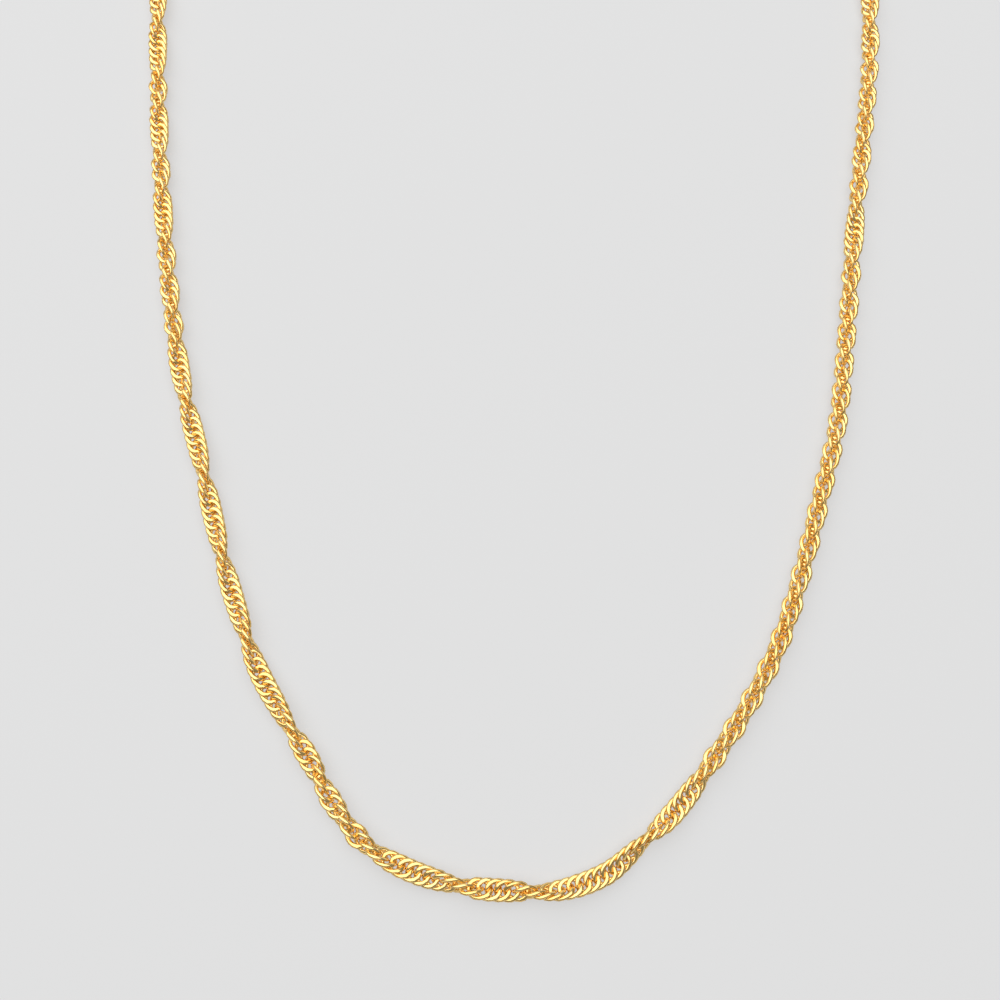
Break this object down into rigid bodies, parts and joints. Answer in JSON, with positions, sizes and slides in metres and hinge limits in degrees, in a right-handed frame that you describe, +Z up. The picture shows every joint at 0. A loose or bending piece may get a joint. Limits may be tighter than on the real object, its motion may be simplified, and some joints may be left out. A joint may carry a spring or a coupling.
{
  "type": "singapore chain necklace",
  "caption": "Fine twisted singapore chain necklace in yellow gold colour, lying flat in one long closed loop, with a spring-ring shaped clasp hooked into an end ring.",
  "frame": {"origin": "on the surface that the necklace lies on, under the middle of the box round the whole loop", "axes": "+Y from the front of the loop to the clasp, which is the longest way; +Z up from the surface, the thinnest way; +X to the right as seen from above with the clasp at the far side"},
  "size_m": [0.0882, 0.1886, 0.0021],
  "materials": {
    "chain_gold": "polished yellow gold links with diamond-cut facets",
    "clasp_gold": "polished yellow gold wire"
  },
  "bodies": {
    "root": {"chain": "chain_gold", "clasp": "clasp_gold", "end_ring": "clasp_gold"}
  },
  "joints": []
}
